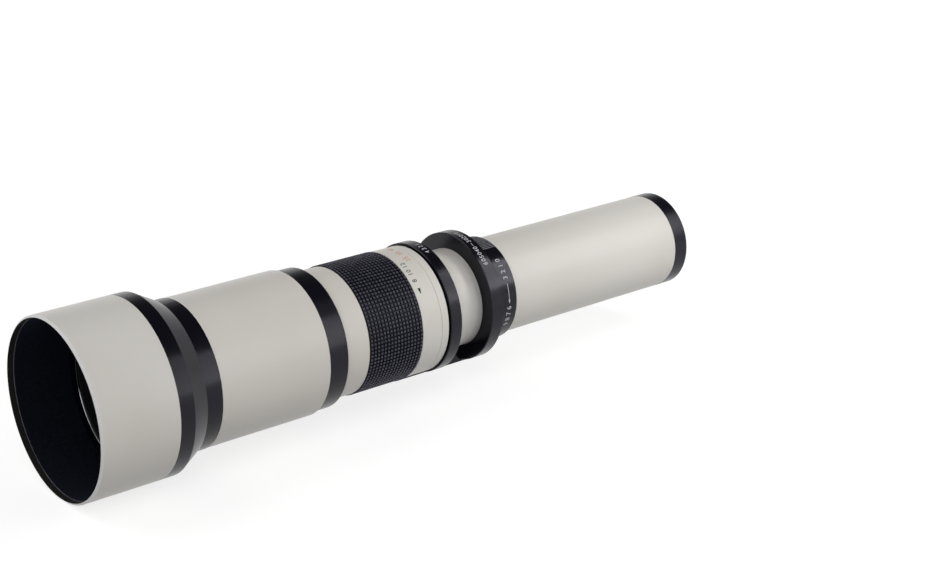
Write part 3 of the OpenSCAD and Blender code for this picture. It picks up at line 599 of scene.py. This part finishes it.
def rib_crests():
    """Round crests of the lock ring's ribs, coloured grey as a painted highlight."""
    r_foot = radius("lock_ring") - CREST_FOOT
    x1 = back("lock_ring") - CREST_END
    x0 = x1 - CREST_LENGTH
    bm = bmesh.new()
    for zone in RIB_ZONES:
        for i in range(RIBS):
            angle = math.radians(zone - RIB_ZONE + (i + 0.5) * 2 * RIB_ZONE / RIBS)
            points = []
            for k in range(CREST_SIDES + 1):
                turn = math.pi * k / CREST_SIDES
                side = math.cos(turn) * CREST_HALF / radius("lock_ring")
                r = r_foot + CREST_HEIGHT * math.sin(turn)
                points.append(bm.verts.new(on_ring(x0, angle + side, r)))
            end = bm.faces.new(points)
            made = bmesh.ops.extrude_face_region(bm, geom=[end])["geom"]
            bmesh.ops.translate(bm, verts=[v for v in made if isinstance(v, bmesh.types.BMVert)],
                                vec=(x1 - x0, 0, 0))
    bmesh.ops.recalc_face_normals(bm, faces=bm.faces)
    smooth(bm, limit=math.radians(50))
    # The crests' grey colour is a painted highlight.
    piece("rib_crests", bm, "lock_ring", CREST_HIGHLIGHT)


rib_crests()


# Rear mount, with a male thread of 42 mm by 0.75 mm, and the quarter inch tripod thread

PORT_R = 18.4 * MM
FLANGE_LENGTH = 3.4 * MM
HUB_R = 25.9 * MM
MOUNT_CHAMFER = 0.25 * MM
MOUNT_R = 21 * MM
MOUNT_ROOT = MOUNT_R - 0.45 * MM
MOUNT_PITCH = 0.75 * MM
MOUNT_RELIEF = 0.5 * MM
TRIPOD_R = 3.175 * MM
TRIPOD_START = 0.6 * MM
TRIPOD_END = 7.4 * MM
TRIPOD_PITCH = 1.27 * MM
TRIPOD_ROOT = 0.02 * MM
TRIPOD_CREST = 0.5 * MM
TRIPOD_STEPS = 48


def rear_mount():
    """Flanged ring behind the end ring, with its thread."""
    x_flange, x_end = front("mount_ring"), back("mount_ring")
    x_web = x_flange + FLANGE_LENGTH
    x_hub = back("end_ring")
    r_flange = radius("mount_ring")
    cut = MOUNT_CHAMFER
    outline = [(x_flange, PORT_R), (x_flange, r_flange), (x_web, r_flange), (x_web, HUB_R),
               (x_hub - cut, HUB_R), (x_hub, HUB_R - cut), (x_hub, MOUNT_ROOT)]
    outline += ridges(x_hub + MOUNT_RELIEF, x_end - cut, MOUNT_ROOT, MOUNT_R, MOUNT_PITCH)
    outline += [(x_end, MOUNT_ROOT - cut), (x_end, PORT_R + cut), (x_end - cut, PORT_R)]
    bm = spun(outline, THREAD_STEPS)
    smooth(bm)
    piece("threaded_mount", bm, "zoom_tube", FINISHES["bright_steel"], ["mount_ring"])


def tripod_thread():
    """Turns of the thread inside the tripod bush, which stands upright."""
    low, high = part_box("tripod_bush")
    wall = TRIPOD_R - LINER
    turns = ridges(TRIPOD_START, TRIPOD_END, wall - TRIPOD_ROOT, wall - TRIPOD_CREST, TRIPOD_PITCH)
    outline = [(TRIPOD_START, wall), *turns, (TRIPOD_END, wall)]
    bm = bmesh.new()
    points = [bm.verts.new((r, 0, z)) for z, r in outline]
    sides = [bm.edges.new(pair) for pair in zip(points, points[1:] + points[:1])]
    bmesh.ops.spin(bm, geom=points + sides, cent=(0, 0, 0), axis=(0, 0, 1), angle=FULL_TURN,
                   steps=TRIPOD_STEPS, use_merge=True)
    bmesh.ops.remove_doubles(bm, verts=bm.verts, dist=1e-7)
    bmesh.ops.recalc_face_normals(bm, faces=bm.faces)
    bmesh.ops.translate(bm, verts=bm.verts, vec=((low.x + high.x) / 2, 0, low.z))
    smooth(bm)
    piece("tripod_thread", bm, "barrel", FINISHES["bright_steel"])


rear_mount()
tripod_thread()


# Screws, each with its drive recess. A screw is made with its head's top at the origin,
# facing up, and then put in its place.

SCREW_STEPS = 24
RECESS_TAPER = 0.75


def faces_within(bm, r):
    """Faces of a screw's head that lie inside a radius."""
    return [face for face in bm.faces if all(v.co.length < r * 1.01 for v in face.verts)]


def screw(profile, drive_r, drive_depth, cross=0.0):
    """Screw from the (radius, z) points below its head's edge. The recess is a cross with
    arms of a given width, or a hexagon."""
    bm = bmesh.new()
    head_r = profile[0][0]
    bmesh.ops.create_circle(bm, cap_ends=True, segments=SCREW_STEPS, radius=head_r)
    rim = [edge for edge in bm.edges if edge.is_boundary]
    bmesh.ops.inset_region(bm, faces=bm.faces[:], thickness=head_r - drive_r, use_boundary=True)
    drive = [face for face in bm.faces if face.calc_center_median().length < drive_r / 4]
    if cross:
        for side in (Vector((1, 0, 0)), Vector((0, 1, 0))):
            for shift in (-cross / 2, cross / 2):
                inside = faces_within(bm, drive_r)
                geometry = dict.fromkeys(inside)
                for face in inside:
                    geometry.update(dict.fromkeys(face.edges))
                    geometry.update(dict.fromkeys(face.verts))
                bmesh.ops.bisect_plane(bm, geom=list(geometry), dist=1e-7,
                                       plane_co=side * shift, plane_no=side)
        drive = []
        for face in faces_within(bm, drive_r):
            middle = face.calc_center_median()
            if min(abs(middle.x), abs(middle.y)) < cross / 2:
                drive.append(face)
    else:
        for vert in drive[0].verts:
            turn = math.atan2(vert.co.y, vert.co.x) % (FULL_TURN / 6) - FULL_TURN / 12
            vert.co *= math.cos(FULL_TURN / 12) / math.cos(turn)
    sunk = bmesh.ops.extrude_face_region(bm, geom=drive)["geom"]
    floor_verts = [item for item in sunk if isinstance(item, bmesh.types.BMVert)]
    bmesh.ops.delete(bm, geom=drive, context="FACES_ONLY")
    narrowing = RECESS_TAPER if cross else 1
    for vert in floor_verts:
        vert.co = Vector((vert.co.x * narrowing, vert.co.y * narrowing, -drive_depth))
    for r, z in profile[1:]:
        made = bmesh.ops.extrude_edge_only(bm, edges=rim)["geom"]
        rim = [item for item in made if isinstance(item, bmesh.types.BMEdge)]
        for vert in (item for item in made if isinstance(item, bmesh.types.BMVert)):
            spread = r / math.hypot(vert.co.x, vert.co.y)
            vert.co = Vector((vert.co.x * spread, vert.co.y * spread, z))
    bmesh.ops.holes_fill(bm, edges=rim, sides=0)
    bmesh.ops.recalc_face_normals(bm, faces=bm.faces)
    return bm


def screws(name, places, body, replaced, **shape):
    """A set of like screws as one piece. Each place is a point and the way that it faces."""
    joined = bmesh.new()
    for point, facing in places:
        one = screw(**shape)
        turn = facing.to_track_quat("Z", "Y").to_matrix().to_4x4()
        bmesh.ops.transform(one, verts=one.verts, matrix=Matrix.Translation(point) @ turn)
        mesh = bpy.data.meshes.new("screw")
        one.to_mesh(mesh)
        one.free()
        joined.from_mesh(mesh)
        bpy.data.meshes.remove(mesh)
    smooth(joined)
    piece(name, joined, body, FINISHES["bright_steel"], [replaced])


def foot_screws():
    """Four countersunk screws up through the foot plate."""
    low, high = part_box("foot_screws")
    head_r = 2.75 * MM
    head_height = 1.2 * MM
    shank_r = 1.5 * MM
    below = Vector((0, 0, -1))
    places = [(Vector((x, y, low.z)), below) for x in (low.x + head_r, high.x - head_r)
              for y in (low.y + head_r, high.y - head_r)]
    screws("foot_cross_screws", places, "barrel", "foot_screws",
           profile=[(head_r, 0), (shank_r, -head_height), (shank_r, low.z - high.z)],
           drive_r=1.6 * MM, drive_depth=0.9 * MM, cross=0.6 * MM)


def mount_screws():
    """Four pan-headed screws in the mount's flange."""
    low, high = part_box("mount_screws")
    head_r = 1.9 * MM
    head_height = 0.85 * MM
    bevel = 0.1 * MM
    shank_r = 1.05 * MM
    circle_r = ((high.y - low.y) / 2 - head_r) * math.sqrt(2)
    places = [(on_ring(high.x, math.radians(angle), circle_r), Vector((1, 0, 0)))
              for angle in (45, 135, 225, 315)]
    screws("mount_cross_screws", places, "zoom_tube", "mount_screws",
           profile=[(head_r - bevel, 0), (head_r, -bevel), (head_r, -head_height),
                    (shank_r, -head_height), (shank_r, low.x - high.x)],
           drive_r=1.15 * MM, drive_depth=0.5 * MM, cross=0.45 * MM)


def collar_screws():
    """Three grub screws with hexagon sockets, sunk in the collar's front band."""
    low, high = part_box("collar_screws")
    grub_r = 1.5 * MM
    bevel = 0.1 * MM
    tip_r = 0.8 * MM
    tip_height = 0.6 * MM
    length = 3.6 * MM
    top_r = radius("tripod_collar") - 0.4 * MM
    places = []
    for angle in (165, 230, 295):
        outwards = on_ring(0, math.radians(angle), 1) - Vector((0, 0, AXIS_Z))
        places.append((on_ring((low.x + high.x) / 2, math.radians(angle), top_r), outwards))
    screws("collar_grub_screws", places, "barrel", "collar_screws",
           profile=[(grub_r - bevel, 0), (grub_r, -bevel), (grub_r, tip_height - length),
                    (tip_r, -length)],
           drive_r=0.85 * MM, drive_depth=1.2 * MM)


foot_screws()
mount_screws()
collar_screws()


# Printed marks. Each is made flat, reading along x, and then wrapped round its ring: it
# reads upwards on the side that faces the camera, with its top towards the front.

INK_DEPTH = 0.05 * MM
INK_SPREAD = 0.03 * MM
FIGURE_SHARE = 0.7
FIGURE_SPACING = 1.15
FIGURE_HEIGHT = 3.7 * MM
LOCK_FIGURE_HEIGHT = 4.1 * MM
SCALE_R = 47.47 * MM


def wrapped(bm, flat, x, angle, r):
    """Adds a flat closed mesh to a bmesh, wrapped round the ring at a place."""
    added = bmesh.new()
    added.from_mesh(flat)
    bmesh.ops.remove_doubles(added, verts=added.verts, dist=1e-6)
    bmesh.ops.recalc_face_normals(added, faces=added.faces)
    for vert in added.verts:
        along, up, lift = vert.co
        vert.co = on_ring(x - up, angle - along / r, r + lift)
    added.to_mesh(flat)
    added.free()
    bm.from_mesh(flat)
    bpy.data.meshes.remove(flat)


def number(bm, value, height, x, angle, r):
    """A number, height being that of its figures, centred on its place."""
    curve = bpy.data.curves.new("number", "FONT")
    curve.body = value
    curve.size = height / FIGURE_SHARE
    curve.extrude = INK_DEPTH
    curve.offset = INK_SPREAD
    curve.resolution_u = 3
    curve.align_x = "CENTER"
    curve.align_y = "CENTER"
    curve.space_character = FIGURE_SPACING
    text = bpy.data.objects.new("number", curve)
    bpy.context.scene.collection.objects.link(text)
    bpy.context.view_layer.update()
    shaped = text.evaluated_get(bpy.context.evaluated_depsgraph_get())
    flat = bpy.data.meshes.new_from_object(shaped)
    bpy.data.objects.remove(text)
    bpy.data.curves.remove(curve)
    wrapped(bm, flat, x, angle, r)


def stroke(bm, x, angle, r, length, width, taper=1.0):
    """A straight mark along the reading direction. A taper widens its far end."""
    flat = bmesh.new()
    bmesh.ops.create_grid(flat, x_segments=max(1, round(length / MM)), y_segments=1, size=0.5)
    for vert in flat.verts:
        spread = 1 + (taper - 1) * (0.5 + vert.co.x)
        vert.co = Vector((vert.co.x * length, vert.co.y * width * spread, -INK_DEPTH))
    top = bmesh.ops.extrude_face_region(flat, geom=flat.faces[:])["geom"]
    bmesh.ops.translate(flat, verts=[v for v in top if isinstance(v, bmesh.types.BMVert)],
                        vec=(0, 0, 2 * INK_DEPTH))
    mesh = bpy.data.meshes.new("stroke")
    flat.to_mesh(mesh)
    flat.free()
    wrapped(bm, mesh, x, angle, r)


def focus_scale():
    """Two plain distance scales behind the grip, and a pointer beside them."""
    near_row = back("focus_grip") + 4.9 * MM
    far_row = back("focus_sleeve") - 5.6 * MM
    tick_row = far_row - 3.4 * MM
    green, orange, dark = bmesh.new(), bmesh.new(), bmesh.new()
    for value, angle in (("8", 42), ("10", 33), ("12", 24), ("15", -24), ("20", -45), ("30", -69),
                         ("50", -92), ("99", -112)):
        number(green, value, FIGURE_HEIGHT, near_row, math.radians(angle), SCALE_R)
    for value, angle in (("25", 17), ("30", 6), ("40", -6), ("50", -30), ("70", -52), ("100", -78),
                         ("160", -102)):
        number(orange, value, FIGURE_HEIGHT, far_row, math.radians(angle), SCALE_R)
        stroke(orange, tick_row, math.radians(angle), SCALE_R, length=0.35 * MM, width=1.4 * MM)
    stroke(dark, near_row, math.radians(52), SCALE_R, length=4.2 * MM, width=0.5 * MM, taper=5)
    piece("near_figures", green, "focus_ring", GREEN_INK)
    piece("far_figures", orange, "focus_ring", ORANGE_INK)
    piece("focus_pointer", dark, "focus_ring", DARK_INK)


def collar_marks():
    """Plain figures and divisions on the collar's two bands."""
    r = radius("tripod_collar")
    bm = bmesh.new()
    row = front("tripod_collar") + 5.5 * MM
    for value, angle in (("4", 17), ("3", 12), ("2", 7), ("1", 2)):
        number(bm, value, FIGURE_HEIGHT, row, math.radians(angle), r)
    row = back("tripod_collar") - 5.3 * MM
    for value, angle in (("60", 43), ("50", 36), ("40", 29), ("30", 16), ("20", 9), ("10", 2)):
        number(bm, value, FIGURE_HEIGHT, row, math.radians(angle), r)
    stroke(bm, row, math.radians(22.5), r, length=3.2 * MM, width=0.45 * MM)
    smooth(bm)
    piece("collar_figures", bm, "barrel", WHITE_INK)


def lock_marks():
    """Figures at the two ends of the lock ring's turn, and an arrow between them."""
    r = radius("lock_ring")
    row = back("lock_ring") - 7.6 * MM
    bm = bmesh.new()
    for value, angle in (("3", 61), ("2", 54), ("1", 47), ("0", 40), ("9", 116), ("8", 109),
                         ("7", 102), ("6", 95)):
        number(bm, value, LOCK_FIGURE_HEIGHT, row, math.radians(angle), r)
    stroke(bm, row, math.radians(76.5), r, length=12.5 * MM, width=0.5 * MM)
    stroke(bm, row, math.radians(87.5), r, length=2.6 * MM, width=0.3 * MM, taper=6)
    smooth(bm)
    piece("lock_figures", bm, "lock_ring", WHITE_INK)


focus_scale()
collar_marks()
lock_marks()


# Camera, floor and light

CAMERA_PLACE = Vector((-0.84585, -1.0702, 0.5698))
CAMERA_AZIMUTH = math.radians(39.28)
CAMERA_DROP = math.radians(20.679)
CAMERA_LENS = 75.63
CAMERA_FRAME = 36


def camera():
    """The photograph's viewing angle."""
    data = bpy.data.cameras.new("camera")
    data.lens = CAMERA_LENS
    data.sensor_width = CAMERA_FRAME
    made = bpy.data.objects.new("camera", data)
    made.location = CAMERA_PLACE
    made.rotation_euler = (math.pi / 2 - CAMERA_DROP, 0, -CAMERA_AZIMUTH)
    bpy.context.scene.collection.objects.link(made)
    bpy.context.scene.camera = made


# Reaches on the floor are distances from the origin, and heights in the sky are those of a
# direction one metre long.

FLOOR_HALF = 6
FLOOR_DROP = 0.5 * MM
FLOOR_LIFT_NEAR = 0.75
FLOOR_LIFT_FAR = 0.95
SHADOW_REACH = 0.4
WHITE_REACH = 1.5
HORIZON_TOP = 0.1
CEILING = 0.6
CEILING_LIGHT = 0.08


def floor():
    """White paper that keeps the shadow near the object and fades to plain white."""
    bm = bmesh.new()
    bmesh.ops.create_grid(bm, x_segments=1, y_segments=1, size=FLOOR_HALF)
    bmesh.ops.translate(bm, verts=bm.verts, vec=(0, 0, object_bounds()[0].z - FLOOR_DROP))
    mesh = bpy.data.meshes.new("floor")
    bm.to_mesh(mesh)
    bm.free()
    made = bpy.data.objects.new("floor", mesh)
    bpy.context.scene.collection.objects.link(made)
    made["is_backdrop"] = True
    paper = bpy.data.materials.new("white_paper")
    paper.use_nodes = True
    tree = paper.node_tree
    tree.nodes.clear()
    seen = add(tree, "LightPath")
    direct = add(tree, "Math", {"operation": "MAXIMUM"},
                 {0: seen.outputs["Is Camera Ray"], 1: seen.outputs["Is Glossy Ray"]})
    shown = add(tree, "Math", {"operation": "MAXIMUM"},
                {0: direct.outputs[0], 1: seen.outputs["Is Transmission Ray"]})
    ways = add(tree, "TexCoord")
    away = add(tree, "VectorMath", {"operation": "LENGTH"}, {0: ways.outputs["Object"]})
    white = add(tree, "MapRange", {"From Min": SHADOW_REACH, "From Max": WHITE_REACH,
                                   "To Min": FLOOR_LIFT_NEAR, "To Max": FLOOR_LIFT_FAR},
                {"Value": away.outputs["Value"]})
    lift = add(tree, "Math", {"operation": "MULTIPLY"}, {0: shown.outputs[0], 1: white.outputs[0]})
    lit = add(tree, "BsdfDiffuse", {"Color": linear("#A8A8A8")})
    glow = add(tree, "Emission", {"Color": (1, 1, 1, 1)}, {"Strength": lift.outputs[0]})
    both = add(tree, "AddShader", links={0: lit.outputs[0], 1: glow.outputs[0]})
    add(tree, "OutputMaterial", links={"Surface": both.outputs[0]})
    mesh.materials.append(paper)


def world():
    """White round the horizon, dimmer overhead, as a studio is."""
    made = bpy.data.worlds.new("studio")
    bpy.context.scene.world = made
    made.use_nodes = True
    tree = made.node_tree
    tree.nodes.clear()
    ways = add(tree, "TexCoord")
    height = add(tree, "SeparateXYZ", links={0: ways.outputs["Generated"]})
    strength = add(tree, "MapRange", {"interpolation_type": "SMOOTHSTEP", "From Min": HORIZON_TOP,
                                      "From Max": CEILING, "To Min": 1.0, "To Max": CEILING_LIGHT},
                   {"Value": height.outputs["Z"]})
    sky = add(tree, "Background", {"Color": (1, 1, 1, 1)}, {"Strength": strength.outputs[0]})
    add(tree, "OutputWorld", links={"Surface": sky.outputs[0]})


def softbox(name, place, aim, width, height, watts):
    """Rectangular lamp that faces a point."""
    data = bpy.data.lights.new(name, "AREA")
    data.shape = "RECTANGLE"
    data.size = width
    data.size_y = height
    data.energy = watts
    made = bpy.data.objects.new(name, data)
    made.location = place
    made.rotation_mode = "QUATERNION"
    made.rotation_quaternion = (Vector(aim) - Vector(place)).to_track_quat("-Z", "Y")
    made.visible_camera = False
    bpy.context.scene.collection.objects.link(made)


bpy.context.scene.view_settings.view_transform = "Standard"
camera()
floor()
world()
MIDDLE = ((front("hood_tube") + back("mount_ring")) / 2, 0, AXIS_Z)
softbox("key", (0.95, -0.73, 0.8), (0.95, 0, AXIS_Z), width=0.33, height=1.1, watts=9.2)
softbox("side", (0.42, -0.955, 0.48), (0.42, 0, AXIS_Z), width=0.35, height=0.9, watts=2.8)
softbox("front_fill", (-1.3, -1.1, 1.5), MIDDLE, width=1.6, height=1.6, watts=11)
softbox("top_fill", (-0.9, 0.9, 1.7), MIDDLE, width=1.4, height=1.4, watts=12)
